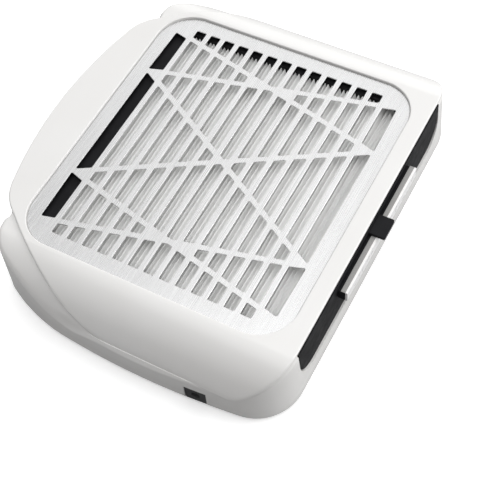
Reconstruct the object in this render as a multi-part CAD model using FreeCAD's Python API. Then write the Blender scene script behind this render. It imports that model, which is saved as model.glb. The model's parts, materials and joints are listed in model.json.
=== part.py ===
"""Desk-top nail dust collector: a flat extractor with a sheet-metal grille, a pull-out
pleated filter cassette and a centrifugal fan that blows out under the rear brim.

Frame: millimetres, +Z up, z = 0 on the underside of the feet, x = 0 on the middle plane,
-Y is the side the filter cassette pulls out of, -X carries the power inlet."""

import FreeCAD, Part
import math
import os

from FreeCAD import Vector as V

# ---------------------------------------------------------------- driving dimensions
FOOT_H = 3.0            # rubber feet below the shell
SHELL_H = 52.0          # shell height without the feet
SKIN = 2.0              # thickness of the upper shell
WALL = 2.5              # wall and floor of the lower shell
DRAFT = 2.5             # how far the lower wall leans in over its height
LAP = 5.0               # width of the step that the upper shell rests on

TOP = FOOT_H + SHELL_H  # top face of the upper shell
FLOOR = FOOT_H + WALL   # inside face of the floor

RIDGE_X = 114.0         # the top is flat up to here on both sides
ROOF_R = 41.1           # radius of the rounded flanks
ROOF_START = 10.0       # slope of the flank at the ridge, degrees
ROOF_DROP = 27.0        # how far the flank falls

# Half outlines from the front middle to the back middle: corner x, corner y, corner radius
UPPER_OUTLINE = [(145.9, -117.2, 35), (145.9, 32.6, 110), (119.5, 78.3, 290),
                 (89.3, 116.9, 34), (0, 139.2, 315)]
LOWER_OUTLINE = [(141.3, -120.0, 33), (151.7, -25.9, 610), (144.0, 68.6, 140),
                 (122.4, 110.4, 28), (86.0, 110.4, 25), (64.0, 119.6, 38)]

GRILLE_X, GRILLE_Y = 222.0, 202.0   # sheet size
GRILLE_R = 27.0                     # its corner radius
GRILLE_T = 1.0
GRILLE_CY = -3.4                    # middle of the sheet
GRILLE_SINK = 2.0                   # sheet lies this far below the top face
GRILLE_GAP = 0.4                    # gap round the sheet
COLLAR = 3.0                        # wall round the sheet's recess
SHELF = 4.0                         # width of the shelf under the sheet's edge
SHELF_T = 2.0

SLOT_PITCH, SLOT_W, SLOT_HALF = 12.0, 8.0, 100.0
INNER_COLUMNS = 13
EDGE_COLUMN = (80.0, 90.0, 93.0)    # inner side, outer side, half length
RIB_W = 4.0
RIB_CROSS = 51.0                    # where the long diagonals reach the sides
RIB_END = 94.0                      # where the short diagonals reach the corners
RIB_REACH = 90.0                    # half width of the slot field
LEAST_SLOT = 14.0                   # a smaller hole between ribs is left closed, mm2

MOUTH_HALF = 110.0      # cassette mouth in the front wall
MOUTH_Z = 18.0
MOUTH_R = 19.0
FRONT_Y = -118.0        # outer face of the cassette front
CASSETTE_HALF = 109.8
CASSETTE_BACK = 96.0
CASSETTE_Z = (26.2, 48.6)
CASSETTE_WALL = 2.0
FASCIA_T = 4.0          # front panel that fills the mouth
FASCIA_TOP = 52.4
MEDIA_HALF = 98.5       # filter window in the cassette
MEDIA_Y = (-96.5, 78.1)
MEDIA_LEDGE = 4.0       # width of the ledge that carries the wire grid
GRID_Z = (28.0, 28.8)
GRID_BARS = (13, 11)    # wires across X and across Y
WIRE = 1.0
PLEATS = 58
PLEAT_Z = (28.8, 46.8)
PAPER = 0.8             # height of the paper at a fold
CREST, VALLEY = 0.4, 0.7            # widths of the flats at the folds

LIP_HALF = 55.0         # middle lip on the cassette front
LIP_FRONT = -124.9
LIP_Z = (38.5, 48.0)
FACING_T = 1.5
PAD_T = 0.8
PAD_BACK = -120.1
TAB_HALF = 8.2
TAB_TIP = -129.55
TAB_T = 2.4

DECK_Z = (23.6, 25.8)
DECK_HALF = 113.0
DECK_Y = (-112.0, 98.2)
RAIL_X = 110.6          # inner face of the guide rails
RAIL_TOP = 49.5
STOP_HALF = 70.0
STOP_TOP = 42.0
GASKET_T = 1.2
GUARD_RINGS = (34.0, 23.0, 12.0)
GUARD_WIRE = 1.6

FAN_X, FAN_Y = -20.0, -9.4
SCROLL_MIN, SCROLL_MAX = 58.0, 86.0
TONGUE_ANGLE = 60.0
OUTLET_Y = 112.0
SCROLL_Z = (FLOOR, 7.0, 21.0, 22.6)     # floor, inside floor, top of the wall, top of the cover
SCROLL_WALL = 2.0
IMPELLER_R = 50.0
IMPELLER_Z = (8.5, 19.5)
INLET_R = 44.0
BLADES = 30
BLADE_CHORD = 11.5
BLADE_PITCH = 28.0
BLADE_T = 1.2
HUB_R = 21.0
CUP_R, CUP_BORE = 19.0, 17.6
CUP_Z = (9.0, 18.0)
MAGNET_BORE = 15.7
STATOR_R = 15.0
STATOR_Z = (9.6, 13.6)
POLES = 6
SHAFT_R = 1.46
SHAFT_Z = (8.1, 19.5)
BEARING_BORE = 1.5
BEARING_R = 3.4
BEARING_H = 2.2
BEARINGS_Z = (8.2, 13.2)
TUBE_R = 4.4            # bearing tube on the motor base

PORT_Y = -60.2          # power inlet on one side and switch on the other
SIDE_TILT = 4.5         # the side wall leans this much there, degrees
SIDE_X = 146.6
PORT_FIT = 0.2          # gap between a port and its hole in the wall
JACK_HALF = 7.7
JACK_DEPTH = 14.0
JACK_TOP = 18.0
JACK_Z = 11.0           # height of the plug's axis
INLET_MOUTH_R = 3.15
INLET_MOUTH = 3.2       # depth of the wide mouth
INLET_BORE_R = 2.85
INLET_DEPTH = 10.5
PIN_R = 1.05
SWITCH_HALF, SWITCH_HALF_Z = 9.3, 6.3
SWITCH_Z = 13.0
SWITCH_DEPTH = 14.5
BEZEL_T = 1.2
BEZEL_LAP = 1.2         # how far the bezel covers the wall round its hole
WELL_HALF, WELL_HALF_Z = 8.2, 5.1
ROCKER_R = 8.0
ROCKER_TILT = 9.0
ROCKER_PIN_X = -4.4     # rocker pin behind the wall's outside face
ROCKER_PIN_R = 1.0

SLITS = 9               # exhaust slits in the back wall
SLIT_W = 3.4
SLIT_PITCH = 6.0
SLIT_Z = (8.5, 20.0)

BOSSES = [(sx * x, y) for x, y in ((122, -94), (131, -15), (119, 58), (90, 102.2)) for sx in (-1, 1)]
FEET = [(sx * x, y) for x, y in ((112, -98), (112, 88)) for sx in (-1, 1)]
DECK_POSTS = [(sx * 100, y) for y in (-100, 90) for sx in (-1, 1)]
BOSS_R = 3.6
BOSS_SPLIT = 12.0       # height where the lower boss meets the upper one
PILOT_R = 1.25          # screws cut their thread in this
HEAD_R = 2.8
BOARD = (-130.0, -98.0, -84.0, -34.0, 10.5)     # x range, y range, underside
BOARD_T = 1.6
BOARD_EDGE = 4.0        # screw holes lie this far in from the board's edges
BOARD_PILOT_R = 0.95
FOOT_R = 8.0
FOOT_STEM_R = 2.4


# ---------------------------------------------------------------- shape helpers
def box(x0, x1, y0, y1, z0, z1):
    return Part.makeBox(x1 - x0, y1 - y0, z1 - z0, V(x0, y0, z0))


def cyl(r, z0, z1, x=0.0, y=0.0):
    return Part.makeCylinder(r, z1 - z0, V(x, y, z0))


def ring(r_out, r_in, z0, z1, x=0.0, y=0.0):
    return cyl(r_out, z0, z1, x, y).cut(cyl(r_in, z0, z1, x, y))


def fuse(shapes):
    shapes = list(shapes)
    whole = shapes[0] if len(shapes) == 1 else shapes[0].multiFuse(shapes[1:])
    return whole.removeSplitter()


def rounded_wire(corners, z=0.0):
    """Closed wire of straight runs joined by tangent arcs. Corners are (x, y, radius)."""
    count = len(corners)
    starts, middles, ends = [], [], []
    for i, (x, y, r) in enumerate(corners):
        here = V(x, y, z)
        before = (V(*corners[i - 1][:2], z) - here).normalize()
        after = (V(*corners[(i + 1) % count][:2], z) - here).normalize()
        half = before.getAngle(after) / 2
        reach = r / math.tan(half)
        inward = (before + after).normalize()
        starts.append(here + before * reach)
        ends.append(here + after * reach)
        middles.append(here + inward * (r / math.sin(half) - r))
    edges = []
    for i in range(count):
        edges.append(Part.Arc(starts[i], middles[i], ends[i]).toShape())
        following = starts[(i + 1) % count]
        if ends[i].distanceToPoint(following) > 1e-6:
            edges.append(Part.LineSegment(ends[i], following).toShape())
    return Part.Wire(edges)


def both_sides(half):
    """Mirror a half outline about the middle plane, counter-clockwise from the front."""
    left = [(-x, y, r) for x, y, r in reversed(half) if x > 0]
    return half + left


def prism(wire, z0, z1):
    face = Part.Face(wire)
    face.translate(V(0, 0, z0 - wire.BoundBox.ZMin))
    return face.extrude(V(0, 0, z1 - z0))


def outline_prism(half, inset, z0, z1):
    wire = rounded_wire(both_sides(half))
    if inset:
        wire = wire.makeOffset2D(-inset)
    return prism(wire, z0, z1)


def rounded_box(half_x, half_y, r, z0, z1, cy=0.0):
    corners = [(sx * half_x, cy + sy * half_y, r) for sx, sy in ((1, -1), (1, 1), (-1, 1), (-1, -1))]
    return prism(rounded_wire(corners), z0, z1)


def under_roof(drop):
    """Everything below the top surface lowered by drop: flat middle, round flanks, side steps."""
    start = math.radians(ROOF_START)
    cx = RIDGE_X - ROOF_R * math.sin(start)
    cz = TOP - ROOF_R * math.cos(start)
    r = ROOF_R - drop
    end = math.acos((TOP - ROOF_DROP - cz) / ROOF_R)

    def flank(angle, side):
        return V(side * (cx + r * math.sin(angle)), -170, cz + r * math.cos(angle))

    flat = TOP - drop
    inner = cx + math.sqrt(r * r - (flat - cz) ** 2)
    ledge_z = flank(end, 1).z
    first = math.asin((inner - cx) / r)
    mid = (first + end) / 2
    wide = 170.0
    runs = [V(-wide, -170, 0), V(wide, -170, 0), V(wide, -170, ledge_z), flank(end, 1)]
    edges = [Part.LineSegment(a, b).toShape() for a, b in zip(runs, runs[1:])]
    edges.append(Part.Arc(flank(end, 1), flank(mid, 1), flank(first, 1)).toShape())
    edges.append(Part.LineSegment(flank(first, 1), flank(first, -1)).toShape())
    edges.append(Part.Arc(flank(first, -1), flank(mid, -1), flank(end, -1)).toShape())
    rest = [flank(end, -1), V(-wide, -170, ledge_z), V(-wide, -170, 0)]
    edges += [Part.LineSegment(a, b).toShape() for a, b in zip(rest, rest[1:])]
    return Part.Face(Part.Wire(edges)).extrude(V(0, 340, 0))


def leaning_block(inset, z0):
    """The lower shell's outside lowered by an inset, leaning in as it rises."""
    base = rounded_wire(both_sides(LOWER_OUTLINE))
    low = base.makeOffset2D(-inset) if inset else base
    high = base.makeOffset2D(-inset - DRAFT)
    low.translate(V(0, 0, FOOT_H))
    high.translate(V(0, 0, TOP))
    block = Part.makeLoft([low, high], True, True)
    return block.common(box(-170, 170, -170, 170, z0, TOP))


def on_side(shape, side):
    """Carry a piece drawn at a wall whose outside is x = 0 (+X outwards) to one side of the shell."""
    shape = shape.copy()
    shape.rotate(V(0, 0, 0), V(0, 0, 1), -SIDE_TILT)
    shape.translate(V(SIDE_X, PORT_Y, 0))
    return shape if side > 0 else shape.mirror(V(0, 0, 0), V(1, 0, 0))


# ---------------------------------------------------------------- shells
UNDER_TOP = under_roof(0)
UNDER_SKIN = under_roof(SKIN)


def mouth(clear, y0, y1):
    """The cassette mouth, open upwards, with round lower corners."""
    half, low, r = MOUTH_HALF - clear, MOUTH_Z + clear, MOUTH_R - clear
    corners = [(half, low, r), (half, TOP + 20, 1), (-half, TOP + 20, 1), (-half, low, r)]
    shape = prism(rounded_wire(corners), 0, y1 - y0)
    shape.rotate(V(0, 0, 0), V(1, 0, 0), 90)
    shape.translate(V(0, y1, 0))
    return shape


def upper_shell():
    skin = outline_prism(UPPER_OUTLINE, 0, 20, TOP + 5).common(UNDER_TOP).cut(UNDER_SKIN)
    opening = rounded_box(GRILLE_X / 2 + GRILLE_GAP, GRILLE_Y / 2 + GRILLE_GAP, GRILLE_R + GRILLE_GAP,
                          TOP - GRILLE_SINK - GRILLE_T, TOP + 5, GRILLE_CY)
    shelf_top = TOP - GRILLE_SINK - GRILLE_T
    collar = rounded_box(GRILLE_X / 2 + COLLAR, GRILLE_Y / 2 + COLLAR, GRILLE_R + COLLAR,
                         shelf_top - SHELF_T, TOP - SKIN / 2, GRILLE_CY)
    window = rounded_box(GRILLE_X / 2 - SHELF, GRILLE_Y / 2 - SHELF, GRILLE_R - SHELF,
                         shelf_top - SHELF_T - 1, TOP + 5, GRILLE_CY)
    brim_low = TOP - 8
    brim = outline_prism(UPPER_OUTLINE, 0, brim_low, TOP - SKIN / 2)
    brim = brim.cut(outline_prism(UPPER_OUTLINE, WALL, brim_low, TOP))
    brim = brim.common(box(-100, 100, 105, 140, 0, TOP)).cut(leaning_block(-0.3, FOOT_H))
    columns = [cyl(BOSS_R, BOSS_SPLIT, TOP, x, y).common(under_roof(SKIN / 2)) for x, y in BOSSES]
    whole = fuse([skin, collar, brim] + columns)
    whole = whole.cut(opening).cut(window)
    for x, y in BOSSES:
        whole = whole.cut(cyl(PILOT_R, BOSS_SPLIT, 2 * BOSS_SPLIT, x, y))
    return whole


def board_holes():
    x0, x1, y0, y1, _ = BOARD
    return [(x, y) for x in (x0 + BOARD_EDGE, x1 - BOARD_EDGE) for y in (y0 + BOARD_EDGE, y1 - BOARD_EDGE)]


def lower_shell():
    shell = leaning_block(0, FOOT_H).common(UNDER_SKIN)
    cavity = leaning_block(WALL, FLOOR).common(under_roof(SKIN + WALL))
    top_hole = outline_prism(UPPER_OUTLINE, LAP, FLOOR, TOP + 5)
    top_hole = top_hole.common(outline_prism(LOWER_OUTLINE, LAP + 1.5, FLOOR, TOP + 5))
    shell = shell.cut(cavity).cut(top_hole)
    root = FOOT_H + 1
    posts = [cyl(BOSS_R, root, BOSS_SPLIT, x, y) for x, y in BOSSES]
    posts += [cyl(4, root, DECK_Z[0], x, y) for x, y in DECK_POSTS]
    posts += [cyl(2.8, root, BOARD[4], x, y) for x, y in board_holes()]
    shell = fuse([shell] + posts)
    shell = shell.cut(mouth(0, -126, -111))
    return shell.cut(Part.makeCompound(screw_cuts() + port_cuts() + exhaust_slits()))


def screw_cuts():
    """Screw holes and pilots, stem holes of the feet, and room for the upper shell's bosses and collar."""
    cuts = []
    for x, y in BOSSES:
        cuts += [cyl(1.6, FOOT_H, BOSS_SPLIT, x, y), cyl(HEAD_R + 0.3, FOOT_H, FOOT_H + 3, x, y),
                 cyl(BOSS_R + 0.2, BOSS_SPLIT, TOP, x, y)]
    cuts += [cyl(FOOT_STEM_R, FOOT_H, FLOOR, x, y) for x, y in FEET]
    cuts += [cyl(PILOT_R, FLOOR + 8, DECK_Z[0], x, y) for x, y in DECK_POSTS]
    cuts += [cyl(BOARD_PILOT_R, FLOOR, BOARD[4], x, y) for x, y in board_holes()]
    collar = COLLAR + 0.4
    cuts.append(rounded_box(GRILLE_X / 2 + collar, GRILLE_Y / 2 + collar, GRILLE_R + collar,
                            48, TOP, GRILLE_CY))
    return cuts


def port_cuts():
    """Holes for the power inlet and for the switch with its sunk bezel."""
    half, half_z = SWITCH_HALF + 0.1, SWITCH_HALF_Z + 0.1
    bezel, bezel_z = SWITCH_HALF + BEZEL_LAP + 0.1, SWITCH_HALF_Z + BEZEL_LAP + 0.1
    inlet = box(-JACK_DEPTH - PORT_FIT, 6, -JACK_HALF - PORT_FIT, JACK_HALF + PORT_FIT,
                FOOT_H - 1, JACK_TOP + PORT_FIT)
    switch = box(-JACK_DEPTH, 6, -half, half, SWITCH_Z - half_z, SWITCH_Z + half_z)
    recess = box(-BEZEL_T, 6, -bezel, bezel, SWITCH_Z - bezel_z, SWITCH_Z + bezel_z)
    return [on_side(inlet, -1), on_side(switch, 1), on_side(recess, 1)]


def exhaust_slits():
    """Slits behind the fan's outlet, under the rear brim."""
    first = FAN_X + 32
    return [box(first + i * SLIT_PITCH, first + i * SLIT_PITCH + SLIT_W, OUTLET_Y, OUTLET_Y + 12, *SLIT_Z)
            for i in range(SLITS)]


def grille_plate():
    z0 = TOP - GRILLE_SINK - GRILLE_T
    z1 = TOP - GRILLE_SINK
    sheet = rounded_box(GRILLE_X / 2, GRILLE_Y / 2, GRILLE_R, z0, z1, GRILLE_CY)
    columns = []
    for i in range(INNER_COLUMNS):
        y = GRILLE_CY + (i - INNER_COLUMNS // 2) * SLOT_PITCH
        columns.append(box(-SLOT_HALF, SLOT_HALF, y - SLOT_W / 2, y + SLOT_W / 2, z0 - 1, z1 + 1))
    near, far, half = EDGE_COLUMN
    columns.append(box(-half, half, GRILLE_CY + near, GRILLE_CY + far, z0 - 1, z1 + 1))
    columns.append(box(-half, half, GRILLE_CY - far, GRILLE_CY - near, z0 - 1, z1 + 1))
    ends = [(-RIB_CROSS, RIB_CROSS), (RIB_CROSS, -RIB_CROSS)]
    for side in (-1, 1):
        ends += [(side * RIB_CROSS, side * RIB_END), (side * RIB_END, side * RIB_CROSS)]
    ribs = []
    for x_back, x_front in ends:
        length = math.hypot(x_back - x_front, 2 * RIB_REACH) + 40
        rib = box(-RIB_W / 2, RIB_W / 2, -length / 2, length / 2, z0 - 2, z1 + 2)
        rib.rotate(V(0, 0, 0), V(0, 0, 1), math.degrees(math.atan2(x_front - x_back, 2 * RIB_REACH)))
        rib.translate(V((x_back + x_front) / 2, GRILLE_CY, 0))
        ribs.append(rib)
    slots = Part.makeCompound(columns).cut(Part.makeCompound(ribs)).Solids
    least = LEAST_SLOT * (z1 - z0 + 2)
    return sheet.cut(Part.makeCompound([slot for slot in slots if slot.Volume > least]))


# ---------------------------------------------------------------- filter cassette
def filter_frame():
    """Hollow tray round the filter window, with the front panel that fills the mouth."""
    z0, z1 = CASSETTE_Z
    y0, y1 = MEDIA_Y
    front_y = FRONT_Y + FASCIA_T
    body = box(-CASSETTE_HALF, CASSETTE_HALF, front_y, CASSETTE_BACK, z0, z1)
    body = body.common(mouth(0.5, FRONT_Y, CASSETTE_BACK))
    body = body.cut(box(-MEDIA_HALF, MEDIA_HALF, y0, y1, GRID_Z[0], z1))
    window = MEDIA_HALF - MEDIA_LEDGE
    body = body.cut(box(-window, window, y0 + MEDIA_LEDGE, y1 - MEDIA_LEDGE, z0, z1))
    wall = CASSETTE_WALL
    hollow = box(-CASSETTE_HALF + wall, CASSETTE_HALF - wall, front_y + wall, CASSETTE_BACK - wall,
                 z0, z1 - wall)
    hollow = hollow.cut(box(-MEDIA_HALF - wall, MEDIA_HALF + wall, y0 - wall, y1 + wall, z0, z1))
    hollow = hollow.common(mouth(0.5 + wall, FRONT_Y, CASSETTE_BACK))
    fascia = mouth(0.6, FRONT_Y, front_y).common(box(-120, 120, -130, -100, 0, FASCIA_TOP))
    return fuse([body.cut(hollow), fascia])


def pleated_media():
    """Folded paper with its folds along X."""
    y0, y1 = MEDIA_Y[0] + 0.3, MEDIA_Y[1] - 0.3
    pitch = (y1 - y0) / PLEATS
    z0, z1 = PLEAT_Z
    upper = [(y0, z0 + PAPER)]
    lower = [(y0, z0)]
    for i in range(PLEATS):
        y = y0 + i * pitch
        middle = y + pitch / 2
        upper += [(middle - CREST / 2, z1), (middle + CREST / 2, z1)]
        upper += [(y + pitch - VALLEY / 2, z0 + PAPER), (y + pitch + VALLEY / 2, z0 + PAPER)]
        inset = VALLEY / 2 + PAPER / 2
        lower += [(y + inset, z0), (middle, z1 - 2 * PAPER), (y + pitch - inset, z0)]
    upper[-1] = (y1, z0 + PAPER)
    lower.append((y1, z0))
    loop = upper + lower[::-1]
    points = [V(-MEDIA_HALF + 0.2, y, z) for y, z in loop]
    return Part.Face(Part.makePolygon(points + points[:1])).extrude(V(2 * MEDIA_HALF - 0.4, 0, 0))


def media_grid():
    """Crossed wires that lie on the window's ledge under the paper."""
    x1, (y0, y1) = MEDIA_HALF - 0.2, (MEDIA_Y[0] + 0.2, MEDIA_Y[1] - 0.2)
    along, across = GRID_BARS
    wires = []
    for i in range(along):
        x = -x1 + i * (2 * x1 - WIRE) / (along - 1)
        wires.append(box(x, x + WIRE, y0, y1, *GRID_Z))
    for i in range(across):
        y = y0 + i * (y1 - y0 - WIRE) / (across - 1)
        wires.append(box(-x1, x1, y, y + WIRE, *GRID_Z))
    return fuse(wires)


def pull_lip():
    return box(-LIP_HALF, LIP_HALF, LIP_FRONT + FACING_T, FRONT_Y, LIP_Z[0], LIP_Z[1] - PAD_T)


def lip_facing():
    facing = box(-LIP_HALF, LIP_HALF, LIP_FRONT, LIP_FRONT + FACING_T, *LIP_Z)
    edges = [e for e in facing.Edges if abs(e.Vertexes[0].Y - LIP_FRONT) < 1e-6
             and abs(e.Vertexes[-1].Y - LIP_FRONT) < 1e-6 and e.Length > 50]
    return facing.makeFillet(0.6, edges)


def lip_pad():
    return box(-LIP_HALF, LIP_HALF, LIP_FRONT + FACING_T, PAD_BACK, LIP_Z[1] - PAD_T, LIP_Z[1])


def pull_tab():
    half = TAB_HALF
    corners = [(half, TAB_TIP, 1.2), (half, FRONT_Y, 0.2), (-half, FRONT_Y, 0.2), (-half, TAB_TIP, 1.2)]
    return prism(rounded_wire(corners), LIP_Z[1], LIP_Z[1] + TAB_T)


# ---------------------------------------------------------------- deck and rails
def filter_deck():
    z0, z1 = DECK_Z
    deck = box(-DECK_HALF, DECK_HALF, *DECK_Y, z0, z1).cut(cyl(INLET_R + 3, z0, z1, FAN_X, FAN_Y))
    for x, y in DECK_POSTS:
        deck = deck.cut(cyl(1.6, z0, z1, x, y)).cut(cyl(HEAD_R + 0.2, z1 - 1.5, z1, x, y))
    return deck


def filter_rail(side):
    return box(*sorted((side * RAIL_X, side * DECK_HALF)), *DECK_Y, DECK_Z[1], RAIL_TOP)


def rear_stop():
    return box(-STOP_HALF, STOP_HALF, CASSETTE_BACK + 0.6, DECK_Y[1], DECK_Z[1], STOP_TOP)


def filter_gasket():
    """Flat seal under the recess's shelf."""
    z1 = TOP - GRILLE_SINK - GRILLE_T - SHELF_T
    outer = rounded_box(GRILLE_X / 2 - 1, GRILLE_Y / 2 - 1, GRILLE_R - 1, z1 - GASKET_T, z1, GRILLE_CY)
    return outer.cut(rounded_box(GRILLE_X / 2 - SHELF, GRILLE_Y / 2 - SHELF, GRILLE_R - SHELF,
                                 z1 - GASKET_T, z1, GRILLE_CY))


def inlet_guard():
    z0, z1 = DECK_Z[0] + 0.4, DECK_Z[1] - 0.4
    rings = [ring(r, r - GUARD_WIRE, z0, z1, FAN_X, FAN_Y) for r in (INLET_R + 2.8, *GUARD_RINGS)]
    spokes = []
    for i in range(3):
        spoke = box(-INLET_R - 2, INLET_R + 2, -GUARD_WIRE / 2, GUARD_WIRE / 2, z0, z1)
        spokes.append(at_fan(spoke, 60 * i))
    return fuse(rings + spokes)


# ---------------------------------------------------------------- fan
def scroll_wire(grow, outlet):
    """Spiral that widens anticlockwise from the tongue, then runs straight to the outlet."""
    duct_x = SCROLL_MIN * math.cos(math.radians(TONGUE_ANGLE)) - grow
    first = math.degrees(math.acos(duct_x / (SCROLL_MIN + grow)))
    points = []
    for i in range(16):
        turned = first + (360 - first) * i / 15
        share = (turned - TONGUE_ANGLE) / (360 - TONGUE_ANGLE)
        angle = math.radians(turned)
        r = SCROLL_MIN + grow + (SCROLL_MAX - SCROLL_MIN) * share
        points.append(V(FAN_X + r * math.cos(angle), FAN_Y + r * math.sin(angle), 0))
    spiral = Part.BSplineCurve()
    spiral.interpolate(points)
    corners = [points[-1], V(points[-1].x, outlet, 0), V(points[0].x, outlet, 0), points[0]]
    edges = [spiral.toShape()]
    edges += [Part.LineSegment(a, b).toShape() for a, b in zip(corners, corners[1:])]
    return Part.Wire(edges)


def at_fan(shape, turn=0.0):
    """Carry a piece drawn about the Z axis to the fan's axis, turned by some degrees."""
    shape = shape.copy()
    shape.rotate(V(0, 0, 0), V(0, 0, 1), turn)
    shape.translate(V(FAN_X, FAN_Y, 0))
    return shape


def fan_scroll():
    z0, z1, z2, _ = SCROLL_Z
    outside = prism(scroll_wire(SCROLL_WALL, OUTLET_Y), z0, z2)
    return outside.cut(prism(scroll_wire(0, OUTLET_Y + 5), z1, z2 + 1))


def scroll_cover():
    _, _, z0, z1 = SCROLL_Z
    cover = prism(scroll_wire(SCROLL_WALL, OUTLET_Y), z0, z1)
    collar = cyl(INLET_R + 2, z1, DECK_Z[0], FAN_X, FAN_Y)
    return fuse([cover, collar]).cut(cyl(INLET_R, z0, DECK_Z[0], FAN_X, FAN_Y))


def impeller():
    """Backplate, shroud ring and hub joined by a ring of slanted blades."""
    z0, z1 = IMPELLER_Z
    web = 1.5
    shroud = 1.2
    parts = [ring(IMPELLER_R, CUP_R + 0.05, z0, z0 + web), ring(IMPELLER_R, INLET_R - 1, z1 - shroud, z1),
             ring(HUB_R, CUP_R + 0.05, z0, z1 - web), ring(HUB_R, SHAFT_R, z1 - web, z1)]
    rim = cyl(IMPELLER_R, z0, z1)
    tip = IMPELLER_R - 0.5
    for i in range(BLADES):
        blade = box(tip - BLADE_CHORD, tip, -BLADE_T / 2, BLADE_T / 2, z0 + 1, z1 - shroud / 2)
        blade.rotate(V(tip - BLADE_CHORD / 2, 0, 0), V(0, 0, 1), BLADE_PITCH)
        blade.rotate(V(0, 0, 0), V(0, 0, 1), i * 360 / BLADES)
        parts.append(blade.common(rim))
    return at_fan(fuse(parts))


def rotor_cup():
    z0, z1 = CUP_Z
    return at_fan(fuse([ring(CUP_R, CUP_BORE, z0, z1), ring(CUP_R, SHAFT_R, z1 - 1.2, z1)]))


def rotor_magnet():
    return at_fan(ring(CUP_BORE, MAGNET_BORE, CUP_Z[0] + 0.4, CUP_Z[1] - 1.6))


def motor_base():
    z = SCROLL_Z[1]
    plate = ring(STATOR_R + 1, BEARING_BORE + 0.5, z, z + 0.9)
    top = BEARINGS_Z[1] + BEARING_H + 0.2
    return at_fan(fuse([plate, ring(TUBE_R, BEARING_R, z, top)]))


def bearing(z):
    return at_fan(ring(BEARING_R, BEARING_BORE, z, z + BEARING_H))


def stator_core():
    z0, z1 = STATOR_Z
    parts = [ring(7.0, TUBE_R, z0, z1)]
    for i in range(POLES):
        pole = box(6, STATOR_R - 1.6, -1.8, 1.8, z0, z1)
        shoe = box(STATOR_R - 2.4, STATOR_R, -4.2, 4.2, z0, z1).common(cyl(STATOR_R, z0, z1))
        for piece in (pole, shoe):
            piece.rotate(V(0, 0, 0), V(0, 0, 1), i * 360 / POLES)
            parts.append(piece)
    return at_fan(fuse(parts))


def stator_windings():
    z0, z1 = STATOR_Z
    coil = box(7.6, 12.4, -3.2, 3.2, z0 - 1.2, z1 + 1.2).cut(box(7, 13, -1.8, 1.8, z0, z1))
    return Part.makeCompound([at_fan(coil, i * 360 / POLES) for i in range(POLES)])


# ---------------------------------------------------------------- electrics
def dc_jack_body():
    block = box(-JACK_DEPTH, 0, -JACK_HALF, JACK_HALF, FOOT_H + PORT_FIT, JACK_TOP)
    mouth_hole = Part.makeCylinder(INLET_MOUTH_R, INLET_MOUTH + 1, V(-INLET_MOUTH, 0, JACK_Z), V(1, 0, 0))
    barrel = Part.makeCylinder(INLET_BORE_R, INLET_DEPTH, V(-INLET_DEPTH, 0, JACK_Z), V(1, 0, 0))
    return on_side(block.cut(mouth_hole).cut(barrel), -1)


def dc_centre_pin():
    length = INLET_DEPTH - INLET_MOUTH - 0.5
    return on_side(Part.makeCylinder(PIN_R, length, V(-INLET_DEPTH, 0, JACK_Z), V(1, 0, 0)), -1)


def dc_terminals():
    x0, x1 = -JACK_DEPTH - 4, -JACK_DEPTH
    tags = [box(x0, x1, y - 1.1, y + 1.1, z, z + 0.5) for y, z in ((-4, 8), (4, 8), (0, 13))]
    return on_side(Part.makeCompound(tags), -1)


def switch_body():
    def pocket(x0, x1, half, half_z):
        return box(x0, x1, -half, half, SWITCH_Z - half_z, SWITCH_Z + half_z)

    body = pocket(-SWITCH_DEPTH, -BEZEL_T, SWITCH_HALF, SWITCH_HALF_Z)
    bezel = pocket(-BEZEL_T, 0, SWITCH_HALF + BEZEL_LAP, SWITCH_HALF_Z + BEZEL_LAP)
    well = pocket(-SWITCH_DEPTH + 2, 3, WELL_HALF, WELL_HALF_Z)
    return on_side(fuse([body, bezel]).cut(well), 1)


def power_rocker():
    """A rocker turned to its off position about a vertical pin."""
    pin_x = ROCKER_PIN_X
    height = 2 * WELL_HALF_Z - 0.3
    z0 = SWITCH_Z - height / 2
    barrel = Part.makeCylinder(ROCKER_R, height, V(pin_x, 0, z0))
    profile = [V(-8, -9, z0), V(1.2, -9, z0), V(-0.4, 0, z0), V(1.2, 9, z0), V(-8, 9, z0)]
    block = Part.Face(Part.makePolygon(profile + profile[:1])).extrude(V(0, 0, height))
    rocker = barrel.common(block).cut(Part.makeCylinder(ROCKER_PIN_R + 0.05, 2 * height, V(pin_x, 0, 0)))
    rocker.rotate(V(pin_x, 0, 0), V(0, 0, 1), -ROCKER_TILT)
    return on_side(rocker, 1)


def rocker_pin():
    z0 = SWITCH_Z - WELL_HALF_Z
    return on_side(Part.makeCylinder(ROCKER_PIN_R, 2 * WELL_HALF_Z, V(ROCKER_PIN_X, 0, z0)), 1)


def switch_terminals():
    x0, x1 = -SWITCH_DEPTH - 5.5, -SWITCH_DEPTH
    tags = [box(x0, x1, y - 0.4, y + 0.4, SWITCH_Z - 2.4, SWITCH_Z + 2.4) for y in (-5, 5)]
    return on_side(Part.makeCompound(tags), 1)


def control_board():
    x0, x1, y0, y1, z = BOARD
    board = box(x0, x1, y0, y1, z, z + BOARD_T)
    for x, y in board_holes():
        board = board.cut(cyl(BOARD_PILOT_R + 0.15, z, z + BOARD_T, x, y))
    return board


def board_parts():
    """Two capacitors, two plugs, a chip and a heat sink."""
    x0, x1, y0, y1, z = BOARD
    top = z + BOARD_T
    parts = [cyl(4, top, top + 9.5, x0 + 10, y1 - 14), cyl(4, top, top + 9.5, x0 + 20, y1 - 14),
             box(x1 - 8, x1 - 1, y0 + 14, y0 + 26, top, top + 6.5),
             box(x0 + 3, x0 + 9, y0 + 16, y0 + 30, top, top + 6.5),
             box(x0 + 12, x0 + 18, y0 + 17, y0 + 22, top, top + 1.8),
             box(x0 + 11, x0 + 20, y0 + 27, y0 + 33, top, top + 4.0)]
    return Part.makeCompound(parts)


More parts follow.
